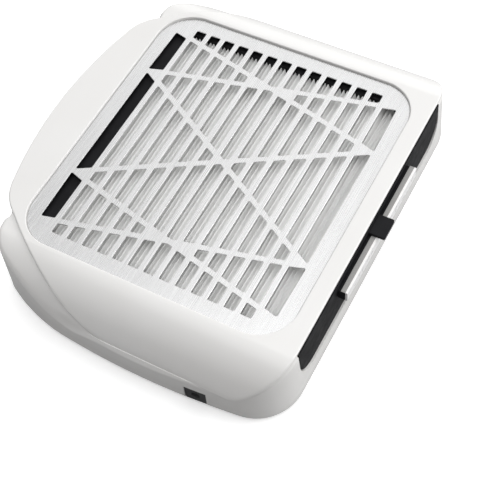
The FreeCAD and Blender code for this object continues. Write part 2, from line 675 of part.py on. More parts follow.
def lead(points, radius, bend):
    """Round lead along straight runs joined by tangent arcs of one radius."""
    edges = []
    last = points[0]
    for before, here, after in zip(points, points[1:], points[2:]):
        back = (before - here).normalize()
        on = (after - here).normalize()
        half = back.getAngle(on) / 2
        start = here + back * (bend / math.tan(half))
        end = here + on * (bend / math.tan(half))
        middle = here + (back + on).normalize() * (bend / math.sin(half) - bend)
        edges.append(Part.LineSegment(last, start).toShape())
        edges.append(Part.Arc(start, middle, end).toShape())
        last = end
    edges.append(Part.LineSegment(last, points[-1]).toShape())
    path = Part.Wire(edges)
    circle = Part.Wire(Part.Circle(points[0], points[1] - points[0], radius).toShape())
    return path.makePipeShell([circle], True, False)


def switch_leads():
    """Two leads from the switch round the front of the fan to the board."""
    leads = []
    for i in (0, 1):
        z = 8.0 + i * 3.2
        y = -103.0
        route = [V(125.6, -63.8 + i * 9.6, 12.5), V(119, -58, 12.5), V(112, -70, z), V(106, y + 12, z),
                 V(80, y - 2, z), V(0, y, z), V(-80, y - 2, z), V(-104, y + 13, z)]
        leads.append(lead(route, 0.9, 7.0))
    return Part.makeCompound(leads)


def motor_leads():
    x1 = BOARD[1] - 1
    y = BOARD[2] + 20
    return Part.makeCompound([Part.makeCylinder(0.8, 12, V(x1, y - 3 + 2.4 * i, 15), V(1, 0, 0))
                              for i in range(3)])


# ---------------------------------------------------------------- fasteners and feet
def housing_screws():
    """Slotted screws up into the upper shell's bosses."""
    head = FOOT_H + 1.0
    neck = head + 2.0
    screws = []
    for x, y in BOSSES:
        body = fuse([cyl(HEAD_R, head, neck, x, y), cyl(PILOT_R, neck, 22.0, x, y)])
        screws.append(body.cut(box(x - 1.8, x + 1.8, y - 0.3, y + 0.3, head, head + 0.9)))
    return Part.makeCompound(screws)


def deck_screws():
    neck = DECK_Z[1] - 1.5
    return Part.makeCompound([fuse([cyl(HEAD_R, neck, DECK_Z[1], x, y),
                                    cyl(PILOT_R, DECK_Z[0] - 8, neck, x, y)]) for x, y in DECK_POSTS])


def board_screws():
    top = BOARD[4] + BOARD_T
    return Part.makeCompound([fuse([cyl(1.9, top, top + 1.4, x, y),
                                    cyl(BOARD_PILOT_R, FLOOR + 0.2, top, x, y)]) for x, y in board_holes()])


def rubber_feet():
    """Round feet whose stems snap through the floor."""
    return Part.makeCompound([fuse([cyl(FOOT_R, 0, FOOT_H, x, y), cyl(FOOT_STEM_R, FOOT_H, FLOOR, x, y),
                                    cyl(FOOT_STEM_R + 0.9, FLOOR, FLOOR + 1.6, x, y)]) for x, y in FEET])


NODES = {
    "upper_shell": upper_shell,
    "lower_shell": lower_shell,
    "grille_plate": grille_plate,
    "filter_frame": filter_frame,
    "pleated_media": pleated_media,
    "media_grid": media_grid,
    "pull_lip": pull_lip,
    "lip_facing": lip_facing,
    "lip_pad": lip_pad,
    "pull_tab": pull_tab,
    "filter_deck": filter_deck,
    "filter_rail_left": lambda: filter_rail(-1),
    "filter_rail_right": lambda: filter_rail(1),
    "rear_stop": rear_stop,
    "filter_gasket": filter_gasket,
    "inlet_guard": inlet_guard,
    "fan_scroll": fan_scroll,
    "scroll_cover": scroll_cover,
    "impeller": impeller,
    "rotor_cup": rotor_cup,
    "rotor_magnet": rotor_magnet,
    "fan_shaft": lambda: cyl(SHAFT_R, *SHAFT_Z, FAN_X, FAN_Y),
    "motor_base": motor_base,
    "bearing_lower": lambda: bearing(BEARINGS_Z[0]),
    "bearing_upper": lambda: bearing(BEARINGS_Z[1]),
    "stator_core": stator_core,
    "stator_windings": stator_windings,
    "control_board": control_board,
    "board_parts": board_parts,
    "dc_jack_body": dc_jack_body,
    "dc_centre_pin": dc_centre_pin,
    "dc_terminals": dc_terminals,
    "switch_body": switch_body,
    "power_rocker": power_rocker,
    "rocker_pin": rocker_pin,
    "switch_terminals": switch_terminals,
    "switch_leads": switch_leads,
    "motor_leads": motor_leads,
    "housing_screws": housing_screws,
    "deck_screws": deck_screws,
    "board_screws": board_screws,
    "rubber_feet": rubber_feet,
}


def main():
    os.makedirs("parts", exist_ok=True)
    low = V(1e9, 1e9, 1e9)
    high = -low
    for name, make in NODES.items():
        shape = make()
        shape.exportStep("parts/" + name + ".step")
        b = shape.BoundBox
        low = V(min(low.x, b.XMin), min(low.y, b.YMin), min(low.z, b.ZMin))
        high = V(max(high.x, b.XMax), max(high.y, b.YMax), max(high.z, b.ZMax))
        state = "ok" if shape.isValid() else "INVALID"
        print(f"{name:20s} {state} solids {len(shape.Solids):3d} volume {shape.Volume / 1000:8.2f} cm3")
    print("box", [round(c, 2) for c in (*low, *high)])


main()
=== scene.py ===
"""Looks of the nail dust collector: glossy white housing, brushed steel hand rest, pleated paper
filter in a black cassette. Sizes are in millimetres in the part's own frame and become metres
when a mesh is made."""

import json
import math

import bmesh
import bpy
from mathutils import Matrix, Vector, noise

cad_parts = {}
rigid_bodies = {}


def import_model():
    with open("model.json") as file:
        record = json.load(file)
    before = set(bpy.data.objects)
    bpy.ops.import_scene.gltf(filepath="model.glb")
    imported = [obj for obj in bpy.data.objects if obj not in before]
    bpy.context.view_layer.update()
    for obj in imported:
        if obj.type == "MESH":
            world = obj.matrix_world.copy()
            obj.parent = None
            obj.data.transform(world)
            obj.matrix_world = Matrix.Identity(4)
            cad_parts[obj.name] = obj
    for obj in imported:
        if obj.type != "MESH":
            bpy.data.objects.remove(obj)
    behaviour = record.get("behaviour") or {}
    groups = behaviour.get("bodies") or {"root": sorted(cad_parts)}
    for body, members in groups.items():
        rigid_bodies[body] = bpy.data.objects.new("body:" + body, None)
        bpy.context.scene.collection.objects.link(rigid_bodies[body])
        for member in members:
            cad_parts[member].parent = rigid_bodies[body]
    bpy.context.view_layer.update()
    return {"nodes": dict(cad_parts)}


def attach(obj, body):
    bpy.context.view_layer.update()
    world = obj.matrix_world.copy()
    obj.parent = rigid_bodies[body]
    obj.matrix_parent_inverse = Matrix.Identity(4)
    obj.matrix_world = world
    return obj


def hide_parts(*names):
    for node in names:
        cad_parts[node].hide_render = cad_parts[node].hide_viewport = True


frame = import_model()

MM = 0.001

# ---------------------------------------------------------------- driving dimensions
FOOT_H = 3.0
TOP = 55.0
SKIN = 2.0
WALL = 2.5
DRAFT = 2.5
LAP = 5.0

RIDGE_X = 114.0
ROOF_R = 41.1
ROOF_START = math.radians(10.0)
ROOF_DROP = 27.0
ROOF_CX = RIDGE_X - ROOF_R * math.sin(ROOF_START)
ROOF_CZ = TOP - ROOF_R * math.cos(ROOF_START)
ROOF_END = math.acos((TOP - ROOF_DROP - ROOF_CZ) / ROOF_R)

# Half outlines from the front middle to the back middle: corner x, corner y, corner radius
UPPER_OUTLINE = [(145.9, -117.2, 35), (145.9, 32.6, 110), (119.5, 78.3, 290),
                 (89.3, 116.9, 34), (0, 139.2, 315)]
LOWER_OUTLINE = [(141.3, -120.0, 33), (151.7, -25.9, 610), (144.0, 68.6, 140),
                 (122.4, 110.4, 28), (86.0, 110.4, 25), (64.0, 119.6, 38)]

GRILLE_X, GRILLE_Y = 222.0, 202.0
GRILLE_R = 27.0
GRILLE_T = 1.0
GRILLE_CY = -3.4
GRILLE_SINK = 2.0
GRILLE_GAP = 0.4
SHELF = 4.0
SHELF_T = 2.0
SLOT_PITCH, SLOT_W, SLOT_HALF = 12.0, 8.0, 100.0
INNER_COLUMNS = 13
EDGE_COLUMN = (80.0, 90.0, 93.0)
RIB_W = 4.0
RIB_CROSS = 51.0
RIB_END = 94.0
RIB_REACH = 90.0
SLOT_CORNER = 1.0
LEAST_SLOT = 14.0       # rib crossings leave no hole smaller than this area

MOUTH_HALF = 110.0
MOUTH_Z = 18.0
MOUTH_R = 19.0

MEDIA_HALF = 98.5
MEDIA_Y = (-96.5, 78.1)
PLEATS = 58
PLEAT_Z = (39.4, 47.4)

FAN_X = -20.0
PORT_Y = -60.2
SIDE_TILT = math.radians(4.5)
SIDE_X = 146.6
BOSSES = [(sx * x, y) for x, y in ((122, -94), (131, -15), (119, 58), (90, 102.2)) for sx in (-1, 1)]
BOSS_R = 3.6
BOSS_SPLIT = 12.0
DECK_POSTS = [(sx * 100, y) for y in (-100, 90) for sx in (-1, 1)]
DECK_LOW = 23.6
BOARD_POSTS = [(x, y) for x in (-126, -102) for y in (-80, -38)]
BOARD_LOW = 10.5

AROUND = 900            # points round each ring of a shell
LEDGE_BLEND = 4.0       # softness of the corner where the flank meets the ledge


# ---------------------------------------------------------------- camera
CAMERA_TARGET = (-55.3, -54.9, 53.0)
CAMERA_DISTANCE = 706.8
CAMERA_AZIMUTH = math.radians(-55.75)
CAMERA_ELEVATION = math.radians(57.45)
CAMERA_ROLL = math.radians(7.34)
CAMERA_LENS = 77.94


def make_camera():
    horizontal = math.cos(CAMERA_ELEVATION)
    back = Vector((math.sin(CAMERA_AZIMUTH) * horizontal, -math.cos(CAMERA_AZIMUTH) * horizontal,
                   math.sin(CAMERA_ELEVATION)))
    right = Vector((0, 0, 1)).cross(back).normalized()
    up = back.cross(right)
    rolled_up = up * math.cos(CAMERA_ROLL) + right * math.sin(CAMERA_ROLL)
    rolled_right = rolled_up.cross(back)
    place = (Vector(CAMERA_TARGET) + back * CAMERA_DISTANCE) * MM
    data = bpy.data.cameras.new("camera")
    data.lens = CAMERA_LENS
    data.sensor_width = 36.0
    data.clip_start, data.clip_end = 0.01, 20.0
    camera = bpy.data.objects.new("camera", data)
    turn = Matrix((rolled_right, rolled_up, back)).transposed()
    camera.matrix_world = Matrix.Translation(place) @ turn.to_4x4()
    bpy.context.scene.collection.objects.link(camera)
    bpy.context.scene.camera = camera


# ---------------------------------------------------------------- light and floor
DARK_SIDE = (-0.96, -0.28, 0.0)     # where the tent is dark near the horizon
DARK_HEIGHT = (0.74, 0.12)          # heights of the sky where it starts and is full
DARK_WIDTH = (-0.55, 0.45)
DARK_TONE = (0.035, 0.025, 0.028, 1)
SKY_STRENGTH = (0.5, 1.16)          # on the inlet side and on the switch side
SKY_SPAN = (0.25, 0.62)
OVERHEAD = 1.6                      # extra strength of the lamp straight above
OVERHEAD_SPAN = (0.84, 0.95)

KEY_PLACE = (0.45, -1.15, 0.55)
KEY_TARGET = (0.0, 0.0, 0.04)
KEY_SIZE = (0.9, 0.7)
KEY_POWER = 8.0

FLOOR_HALF = 3.0
FLOOR_TONES = (0.94, 0.96)
FLOOR_GLOW = 0.35
TABLE_TONES = (0.43, 0.46)
BACKDROP_R = 2.9


def area_light(name, place, target, size, power):
    data = bpy.data.lights.new(name, "AREA")
    data.shape = "RECTANGLE"
    data.size, data.size_y = size
    data.energy = power
    lamp = bpy.data.objects.new(name, data)
    lamp.location = place
    lamp.rotation_euler = (Vector(target) - Vector(place)).to_track_quat("-Z", "Y").to_euler()
    bpy.context.scene.collection.objects.link(lamp)


def make_world():
    """White studio tent, darker near the horizon on the inlet side."""
    world = bpy.data.worlds.new("studio")
    world.use_nodes = True
    bpy.context.scene.world = world
    nodes, links = world.node_tree.nodes, world.node_tree.links
    background = nodes["Background"]
    direction = nodes.new("ShaderNodeTexCoord").outputs["Generated"]
    split = nodes.new("ShaderNodeSeparateXYZ")
    links.new(direction, split.inputs[0])
    low = world_range(world, split.outputs["Z"], *DARK_HEIGHT, 0.0, 1.0)
    toward = nodes.new("ShaderNodeVectorMath")
    toward.operation = "DOT_PRODUCT"
    links.new(direction, toward.inputs[0])
    toward.inputs[1].default_value = DARK_SIDE
    side = world_range(world, toward.outputs["Value"], *DARK_WIDTH, 0.0, 1.0)
    both = nodes.new("ShaderNodeMath")
    both.operation = "MULTIPLY"
    links.new(low, both.inputs[0])
    links.new(side, both.inputs[1])
    sheen = world_range(world, split.outputs["X"], *SKY_SPAN, *SKY_STRENGTH)
    lamp = world_range(world, split.outputs["Z"], *OVERHEAD_SPAN, 0.0, OVERHEAD)
    strength = nodes.new("ShaderNodeMath")
    strength.operation = "ADD"
    links.new(sheen, strength.inputs[0])
    links.new(lamp, strength.inputs[1])
    links.new(strength.outputs[0], background.inputs["Strength"])
    tone = nodes.new("ShaderNodeValToRGB")
    tone.color_ramp.elements[0].color = (1.0, 1.0, 1.0, 1)
    tone.color_ramp.elements[1].color = DARK_TONE
    links.new(both.outputs[0], tone.inputs["Fac"])
    links.new(tone.outputs["Color"], background.inputs["Color"])


def world_range(world, value, from_min, from_max, to_min, to_max):
    node = world.node_tree.nodes.new("ShaderNodeMapRange")
    node.interpolation_type = "SMOOTHSTEP"
    node.inputs["From Min"].default_value = from_min
    node.inputs["From Max"].default_value = from_max
    node.inputs["To Min"].default_value = to_min
    node.inputs["To Max"].default_value = to_max
    world.node_tree.links.new(value, node.inputs["Value"])
    return node.outputs["Result"]


def make_floor(name, tones, z, seen, glow=0.0):
    """Pale floor that only the camera sees, or that only throws light back."""
    half = FLOOR_HALF
    mesh = bpy.data.meshes.new(name)
    mesh.from_pydata([(-half, -half, z), (half, -half, z), (half, half, z), (-half, half, z)],
                     [], [(0, 1, 2, 3)])
    add_stage(name, mesh, plain_floor(name, tones, glow), seen)


def make_backdrop():
    """White dome round the floor, which only the camera sees."""
    mesh = bpy.data.meshes.new("backdrop")
    bm = bmesh.new()
    bmesh.ops.create_uvsphere(bm, u_segments=64, v_segments=32, radius=BACKDROP_R)
    bm.to_mesh(mesh)
    bm.free()
    add_stage("backdrop", mesh, plain_floor("backdrop", FLOOR_TONES, glow=1.0), seen=True)


def add_stage(name, mesh, material, seen):
    """A stage object that either only the camera sees or only the light does."""
    mesh.materials.append(material)
    stage = bpy.data.objects.new(name, mesh)
    bpy.context.scene.collection.objects.link(stage)
    stage.visible_camera = seen
    for ray in ("diffuse", "glossy", "transmission", "volume_scatter"):
        setattr(stage, "visible_" + ray, not seen)
    stage.visible_shadow = False


# ---------------------------------------------------------------- material helpers
class Nodes:
    """A new node material with its main shader, and short ways to add nodes."""

    def __init__(self, name, roughness, metallic=0.0):
        self.material = bpy.data.materials.new(name)
        self.material.use_nodes = True
        self.tree = self.material.node_tree
        self.shader = self.tree.nodes["Principled BSDF"]
        self.shader.inputs["Roughness"].default_value = roughness
        self.shader.inputs["Metallic"].default_value = metallic
        self.shader.inputs["IOR"].default_value = 1.5
        self.coordinates = self.tree.nodes.new("ShaderNodeTexCoord").outputs["Object"]
        self.bumps = None

    def link(self, a, b):
        self.tree.links.new(a, b)

    def set(self, **values):
        for name, value in values.items():
            self.shader.inputs[name.replace("_", " ")].default_value = value
        return self

    def stretched(self, scale):
        mapping = self.tree.nodes.new("ShaderNodeMapping")
        mapping.inputs["Scale"].default_value = scale
        self.link(self.coordinates, mapping.inputs["Vector"])
        return mapping.outputs["Vector"]

    def noise(self, size, detail=3.0, stretch=None, roughness=0.5):
        """Noise whose features are about size millimetres across, longer where stretch is below 1."""
        texture = self.tree.nodes.new("ShaderNodeTexNoise")
        texture.inputs["Scale"].default_value = 1.0 / (size * MM)
        texture.inputs["Detail"].default_value = detail
        texture.inputs["Roughness"].default_value = roughness
        vector = self.stretched(stretch) if stretch else self.coordinates
        self.link(vector, texture.inputs["Vector"])
        return texture.outputs["Fac"]

    def ramp(self, value, low, high, colours):
        """Colours spread evenly over the part of the value from low to high."""
        node = self.tree.nodes.new("ShaderNodeValToRGB")
        elements = node.color_ramp.elements
        elements[0].position, elements[1].position = low, high
        for _ in colours[2:]:
            elements.new(0.5)
        for i, colour in enumerate(colours):
            elements[i].position = low + (high - low) * i / (len(colours) - 1)
            elements[i].color = (*colour, 1)
        self.link(value, node.inputs["Fac"])
        return node.outputs["Color"]

    def colour(self, socket):
        self.link(socket, self.shader.inputs["Base Color"])
        return self

    def vary_roughness(self, value, low, high):
        node = self.tree.nodes.new("ShaderNodeMapRange")
        node.inputs["From Min"].default_value = 0.3
        node.inputs["From Max"].default_value = 0.7
        node.inputs["To Min"].default_value = low
        node.inputs["To Max"].default_value = high
        self.link(value, node.inputs["Value"])
        self.link(node.outputs["Result"], self.shader.inputs["Roughness"])
        return self

    def bump(self, value, depth):
        """Adds a bump of about depth millimetres on top of the bumps before it."""
        node = self.tree.nodes.new("ShaderNodeBump")
        node.inputs["Strength"].default_value = 1.0
        node.inputs["Distance"].default_value = depth * MM
        self.link(value, node.inputs["Height"])
        if self.bumps:
            self.link(self.bumps, node.inputs["Normal"])
        self.bumps = node.outputs["Normal"]
        self.link(self.bumps, self.shader.inputs["Normal"])
        return self

    def mix(self, a, b, share, mode="MIX"):
        node = self.tree.nodes.new("ShaderNodeMix")
        node.data_type = "RGBA"
        node.blend_type = mode
        node.inputs["Factor"].default_value = share
        self.link(a, node.inputs[6])
        self.link(b, node.inputs[7])
        return node.outputs[2]


# ---------------------------------------------------------------- materials
def plain_floor(name, tones, glow):
    n = Nodes(name, 0.6)
    n.colour(n.ramp(n.noise(400), 0.3, 0.7, [(t, t, t) for t in tones]))
    n.set(Emission_Color=(1, 1, 1, 1), Emission_Strength=glow)
    return n.material


def glossy_shell():
    """Injection-moulded ABS: nearly even warm white, slight flow marks and very fine orange peel."""
    n = Nodes("shell_abs", 0.3)
    n.colour(n.ramp(n.noise(55, detail=2), 0.2, 0.8, [(0.80, 0.79, 0.775), (0.83, 0.825, 0.815)]))
    n.vary_roughness(n.noise(30, detail=2), 0.22, 0.27)
    n.bump(n.noise(24, detail=1), 0.02)
    n.bump(n.noise(0.35, detail=1), 0.0008)
    n.set(Coat_Weight=0.35, Coat_Roughness=0.08)
    return n.material


def brushed_steel():
    """Thin satin sheet brushed along its slots, with a few longer scratches."""
    n = Nodes("grille_sheet", 0.28, metallic=0.85)
    grain = n.noise(1.1, detail=4, stretch=(0.03, 1.6, 1.0))
    long_grain = n.noise(4, detail=3, stretch=(0.015, 1.0, 1.0))
    tone = n.ramp(grain, 0.25, 0.75, [(0.71, 0.71, 0.714), (0.79, 0.79, 0.79)])
    streak = n.ramp(long_grain, 0.35, 0.65, [(0.95, 0.95, 0.95), (1, 1, 1)])
    n.colour(n.mix(tone, streak, 0.6, "MULTIPLY"))
    n.vary_roughness(grain, 0.22, 0.34)
    n.bump(grain, 0.004)
    n.bump(n.noise(60, detail=2), 0.15)
    return n.material


def filter_paper():
    """Off-white non-woven paper: fibres in all directions and a faint grey dust in the folds."""
    n = Nodes("pleated_paper", 0.92)
    fibres = n.noise(0.8, detail=5, stretch=(0.5, 1.0, 1.0), roughness=0.65)
    cloud = n.noise(26, detail=3)
    paper = n.ramp(fibres, 0.3, 0.7, [(0.93, 0.93, 0.925), (0.98, 0.98, 0.975)])
    soil = n.ramp(cloud, 0.3, 0.75, [(0.97, 0.97, 0.965), (1, 1, 1)])
    n.colour(n.mix(paper, soil, 0.7, "MULTIPLY"))
    n.bump(fibres, 0.03)
    n.set(Sheen_Weight=0.15, Sheen_Roughness=0.6)
    return n.material


def moulded_plastic(name, dark, light, roughness, grain, depth, coat=0.0, specular=0.5):
    """Moulded plastic with an eroded-tool grain, slight tone clouds and rubbed roughness."""
    n = Nodes(name, roughness)
    cells = n.noise(grain, detail=3)
    tone = n.ramp(n.mix(cells, n.noise(14), 0.5), 0.3, 0.7, [dark, light])
    n.colour(tone)
    n.vary_roughness(n.noise(6, detail=4), roughness - 0.07, roughness + 0.07)
    n.bump(cells, depth)
    n.set(Coat_Weight=coat, Coat_Roughness=0.2, Specular_IOR_Level=specular)
    return n.material


# Grey pad on top of the pull lip with a foam grain: its mid grey is partly the pad's own tone and partly
# painted shade for the shadowed top of the lip.
def foam_pad_and_painted_shade():
    n = Nodes("grip_pad_and_painted_shade", 0.85)
    cells = n.noise(0.6, detail=4)
    n.colour(n.ramp(cells, 0.3, 0.7, [(0.26, 0.255, 0.25), (0.38, 0.375, 0.365)]))
    n.bump(cells, 0.12)
    return n.material


def metal(name, dark, light, roughness, stretch=(1, 1, 1)):
    n = Nodes(name, roughness, metallic=1.0)
    grain = n.noise(0.8, detail=4, stretch=stretch)
    n.colour(n.ramp(n.mix(grain, n.noise(5), 0.4), 0.3, 0.7, [dark, light]))
    n.vary_roughness(grain, roughness - 0.08, roughness + 0.1)
    n.bump(grain, 0.01)
    return n.material


def enamelled_wire():
    """Fine copper turns that run round each coil."""
    n = Nodes("winding_wire", 0.3, metallic=0.9)
    wave = n.tree.nodes.new("ShaderNodeTexWave")
    wave.bands_direction = "DIAGONAL"
    wave.inputs["Scale"].default_value = 900.0
    wave.inputs["Distortion"].default_value = 0.6
    n.link(n.coordinates, wave.inputs["Vector"])
    n.colour(n.ramp(wave.outputs["Fac"], 0.1, 0.9, [(0.32, 0.10, 0.03), (0.78, 0.34, 0.14)]))
    n.bump(wave.outputs["Fac"], 0.2)
    return n.material


def circuit_board():
    """Green solder mask with lighter copper areas under it."""
    n = Nodes("board_mask", 0.35)
    tracks = n.tree.nodes.new("ShaderNodeTexVoronoi")
    tracks.distance = "MANHATTAN"
    tracks.inputs["Scale"].default_value = 260.0
    n.link(n.coordinates, tracks.inputs["Vector"])
    n.colour(n.ramp(tracks.outputs["Distance"], 0.2, 0.5, [(0.03, 0.20, 0.07), (0.01, 0.09, 0.035)]))
    n.bump(tracks.outputs["Distance"], 0.03)
    n.set(Coat_Weight=0.4, Coat_Roughness=0.15)
    return n.material


MATERIALS = {
    "shell": glossy_shell(),
    "sheet": brushed_steel(),
    "paper": filter_paper(),
    "cassette": moulded_plastic("cassette_abs", (0.012, 0.012, 0.013), (0.022, 0.022, 0.024),
                                roughness=0.5, grain=0.5, depth=0.02, specular=0.04),
    "fan": moulded_plastic("fan_plastic", (0.02, 0.02, 0.022), (0.04, 0.04, 0.042),
                           roughness=0.5, grain=0.8, depth=0.03),
    "deck": moulded_plastic("deck_plastic", (0.16, 0.16, 0.165), (0.21, 0.21, 0.215),
                            roughness=0.5, grain=0.8, depth=0.03),
    "port": moulded_plastic("port_plastic", (0.05, 0.05, 0.052), (0.07, 0.07, 0.073),
                            roughness=0.5, grain=0.4, depth=0.02, specular=0.1),
    "facing": moulded_plastic("facing_white", (0.86, 0.85, 0.85), (0.89, 0.885, 0.88),
                              roughness=0.3, grain=2.0, depth=0.002, coat=0.2),
    "pad": foam_pad_and_painted_shade(),
    "rubber": moulded_plastic("foot_rubber", (0.03, 0.03, 0.03), (0.06, 0.06, 0.06),
                              roughness=0.85, grain=0.5, depth=0.06),
    "lead": moulded_plastic("lead_sleeve", (0.45, 0.02, 0.015), (0.6, 0.04, 0.03),
                            roughness=0.4, grain=1.0, depth=0.01),
    "steel": metal("bright_steel", (0.45, 0.45, 0.46), (0.68, 0.68, 0.69), 0.3),
    "zinc": metal("zinc_screw", (0.5, 0.5, 0.48), (0.75, 0.75, 0.73), 0.35),
    "brass": metal("contact_brass", (0.55, 0.40, 0.15), (0.80, 0.62, 0.30), 0.3),
    "magnet": metal("ferrite", (0.05, 0.05, 0.055), (0.10, 0.10, 0.11), 0.6),
    "laminate": metal("stator_laminate", (0.25, 0.25, 0.26), (0.42, 0.42, 0.43), 0.45,
                      stretch=(1, 1, 8)),
    "copper": enamelled_wire(),
    "board": circuit_board(),
    "parts": moulded_plastic("component_case", (0.015, 0.02, 0.05), (0.05, 0.06, 0.12),
                             roughness=0.35, grain=0.5, depth=0.01, coat=0.3),
}

NODE_MATERIALS = {
    "upper_shell": "shell", "lower_shell": "shell", "grille_plate": "sheet", "filter_frame": "cassette",
    "pleated_media": "paper", "media_grid": "cassette", "pull_lip": "cassette", "lip_facing": "facing",
    "lip_pad": "pad", "pull_tab": "cassette", "filter_deck": "deck", "filter_rail_left": "deck",
    "filter_rail_right": "deck", "rear_stop": "deck", "filter_gasket": "rubber", "inlet_guard": "steel",
    "fan_scroll": "fan", "scroll_cover": "fan", "impeller": "fan", "rotor_cup": "steel",
    "rotor_magnet": "magnet", "fan_shaft": "steel", "motor_base": "steel", "bearing_lower": "brass",
    "bearing_upper": "brass", "stator_core": "laminate", "stator_windings": "copper",
    "control_board": "board", "board_parts": "parts", "dc_jack_body": "port", "dc_centre_pin": "brass",
    "dc_terminals": "brass", "switch_body": "port", "power_rocker": "cassette", "rocker_pin": "steel",
    "switch_terminals": "brass", "switch_leads": "lead", "motor_leads": "lead", "housing_screws": "zinc",
    "deck_screws": "zinc", "board_screws": "zinc", "rubber_feet": "rubber",
}


# ---------------------------------------------------------------- outlines
def both_sides(half):
    return half + [(-x, y, r) for x, y, r in reversed(half) if x > 0]


def arc_points(corners, step):
    """Points and outward normals along straight runs joined by tangent arcs."""
    count = len(corners)
    points = []
    for i, (x, y, r) in enumerate(corners):
        here = Vector((x, y))
        before = (Vector(corners[i - 1][:2]) - here).normalized()
        after = (Vector(corners[(i + 1) % count][:2]) - here).normalized()
        half = before.angle(after) / 2
        inward = (before + after).normalized()
        centre = here + inward * (r / math.sin(half))
        start = here + before * (r / math.tan(half)) - centre
        turn = math.pi - 2 * half
        if before.x * after.y - before.y * after.x > 0:
            turn = -turn
        side = 1 if turn > 0 else -1
        pieces = max(2, math.ceil(abs(turn) * r / step))
        for k in range(pieces + 1):
            arm = Matrix.Rotation(turn * k / pieces, 2) @ start
            points.append((centre + arm, arm.normalized() * side))
    return points


def rounded_rectangle(half_x, half_y, r, cy=0.0):
    return [(half_x, cy - half_y, r), (half_x, cy + half_y, r), (-half_x, cy + half_y, r),
            (-half_x, cy - half_y, r)]


class Outline:
    """A closed outline that gives its point and outward normal in any direction from the middle."""

    def __init__(self, corners):
        along = []
        dense = arc_points(corners, 1.0)
        for (p, n), (q, m) in zip(dense, dense[1:] + dense[:1]):
            pieces = max(1, math.ceil((q - p).length / 1.5))
            for k in range(pieces):
                t = k / pieces
                along.append((p.lerp(q, t), n.lerp(m, t).normalized()))
        self.along = sorted(((math.atan2(p.y, p.x), p, n) for p, n in along), key=lambda a: a[0])
        self.rings = {}

    def ring(self, inset=0.0):
        """Points at fixed directions round the outline moved inwards, with their normals."""
        if inset in self.rings:
            return self.rings[inset]
        moved = [(p - n * inset, n) for _, p, n in self.along]
        moved = sorted(((math.atan2(p.y, p.x), p, n) for p, n in moved), key=lambda a: a[0])
        first = (moved[-1][0] - 2 * math.pi, *moved[-1][1:])
        last = (moved[0][0] + 2 * math.pi, *moved[0][1:])
        moved = [first] + moved + [last]
        found = []
        j = 0
        for i in range(AROUND):
            angle = -math.pi + 2 * math.pi * i / AROUND
            while moved[j + 1][0] < angle:
                j += 1
            (a0, p, n), (a1, q, m) = moved[j], moved[j + 1]
            t = (angle - a0) / max(a1 - a0, 1e-9)
            found.append((p.lerp(q, t), n.lerp(m, t).normalized()))
        self.rings[inset] = found
        return found


UPPER = Outline(both_sides(UPPER_OUTLINE))
LOWER = Outline(both_sides(LOWER_OUTLINE))
RECESS = Outline(rounded_rectangle(GRILLE_X / 2 + GRILLE_GAP, GRILLE_Y / 2 + GRILLE_GAP,
                                   GRILLE_R + GRILLE_GAP, GRILLE_CY))


def roof(x, drop=0.0):
    """Height of the top surface lowered by drop: flat middle, round flanks, flat outside them."""
    x = abs(x)
    r = ROOF_R - drop
    end_x = ROOF_CX + r * math.sin(ROOF_END)
    if x >= end_x:
        return ROOF_CZ + r * math.cos(ROOF_END)
    flank = ROOF_CZ + math.sqrt(max(r * r - max(x - ROOF_CX, 0.0) ** 2, 0.0))
    return min(TOP - drop, flank)


def ledge(x):
    """Height of the lower shell's shoulder: the flank runs out softly into the flat ledge."""
    r = ROOF_R - SKIN
    level = ROOF_CZ + r * math.cos(ROOF_END)
    reach = max(r * r - max(abs(x) - ROOF_CX, 0.0) ** 2, 0.0)
    flank = min(TOP - SKIN, ROOF_CZ + math.sqrt(reach))
    overlap = max(LEDGE_BLEND - abs(flank - level), 0.0)
    return max(flank, level) + overlap ** 2 / (4 * LEDGE_BLEND)


def rounding(d, r):
    """How far a rounded edge lies under the surface at distance d from the edge."""
    if d >= r:
        return 0.0
    return r - math.sqrt(max(r * r - (r - d) ** 2, 0.0))


def smoothstep(t):
    t = min(1.0, max(0.0, t))
    return t * t * (3 - 2 * t)


# ---------------------------------------------------------------- mesh helpers
def add_object(name, mesh, body, material):
    piece = bpy.data.objects.new(name, mesh)
    bpy.context.scene.collection.objects.link(piece)
    mesh.materials.clear()
    mesh.materials.append(MATERIALS[material])
    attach(piece, body)
    return piece


def mark_sharp(mesh, degrees=32.0):
    """Smooth shading except across edges sharper than this."""
    bm = bmesh.new()
    bm.from_mesh(mesh)
    limit = math.radians(degrees)
    for face in bm.faces:
        face.smooth = True
    for edge in bm.edges:
        edge.smooth = len(edge.link_faces) == 2 and edge.calc_face_angle(0.0) < limit
    bm.to_mesh(mesh)
    bm.free()


def loft(name, rings, closed_loop):
    """Quads between rings of points in millimetres. A closed loop joins the last ring to the first;
    otherwise the first and the last ring are filled."""
    count = len(rings[0])
    verts = [tuple(c * MM for c in point) for ring in rings for point in ring]
    faces = []
    steps = len(rings) if closed_loop else len(rings) - 1
    for j in range(steps):
        a, b = j * count, ((j + 1) % len(rings)) * count
        for i in range(count):
            k = (i + 1) % count
            faces.append((a + i, a + k, b + k, b + i))
    if not closed_loop:
        faces.append(tuple(range(count))[::-1])
        faces.append(tuple(range((len(rings) - 1) * count, len(rings) * count)))
    mesh = bpy.data.meshes.new(name)
    mesh.from_pydata(verts, [], faces)
    mesh.validate()
    bm = bmesh.new()
    bm.from_mesh(mesh)
    bmesh.ops.recalc_face_normals(bm, faces=bm.faces[:])
    bm.to_mesh(mesh)
    bm.free()
    return mesh


